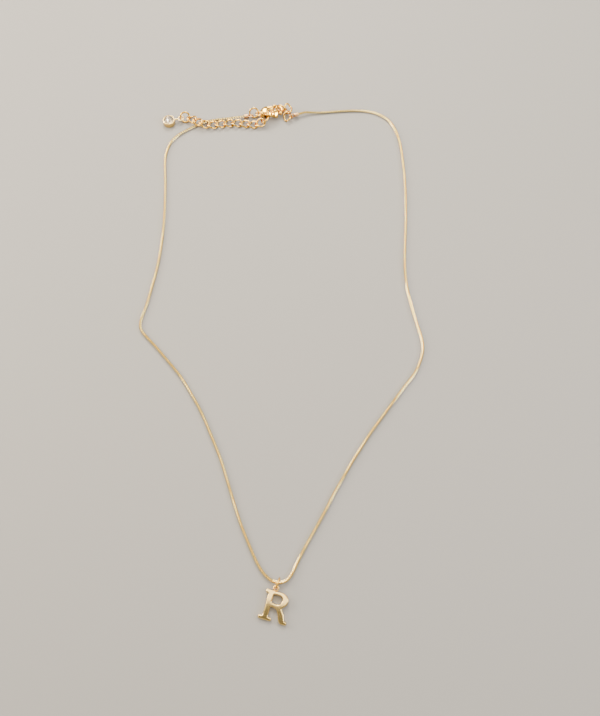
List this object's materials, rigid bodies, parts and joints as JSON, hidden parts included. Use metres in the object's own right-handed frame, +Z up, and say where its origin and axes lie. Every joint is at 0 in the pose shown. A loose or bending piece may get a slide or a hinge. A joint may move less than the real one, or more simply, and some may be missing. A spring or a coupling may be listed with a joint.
{
  "type": "initial pendant necklace",
  "caption": "Fine box-chain necklace lying open, with a serif capital letter charm, a lobster clasp and a curb extender ending in a bezel-set stone.",
  "frame": {"origin": "centre of the bounding box, on the table under the necklace", "axes": "+X to the right in the picture, +Y from the letter towards the clasp, +Z up from the table"},
  "size_m": [0.0904, 0.1762, 0.004],
  "materials": {
    "letter": "polished pale gold plate",
    "chain": "polished gold plate",
    "findings": "polished gold plate",
    "clasp": "polished gold plate, slightly worn",
    "stone": "cut clear glass"
  },
  "bodies": {
    "root": {"letter": "letter", "pendant_ring": "findings", "box_chain": "chain", "chain_end_left": "findings", "chain_end_right": "findings", "clasp_ring": "findings", "clasp_body": "clasp", "clasp_rivet": "clasp", "link_01": "findings", "link_02": "findings", "link_03": "findings", "link_04": "findings", "link_05": "findings", "link_06": "findings", "link_07": "findings", "link_08": "findings", "link_09": "findings", "link_10": "findings", "link_11": "findings", "link_12": "findings", "link_13": "findings", "link_14": "findings", "link_15": "findings", "link_16": "findings", "drop_ring": "findings", "drop_setting": "findings", "drop_stone": "stone"},
    "lever": {"clasp_lever": "clasp"}
  },
  "joints": [
    {"name": "clasp_lever_hinge", "type": "hinge", "parent": "root", "child": "lever", "pos_m": [-0.00572, 0.08349, 0.0013], "axis": [0, 0, 1], "range_deg": [0, 8], "stiffness_Nm_per_rad": 0.00002, "springref_deg": -20.05}
  ]
}
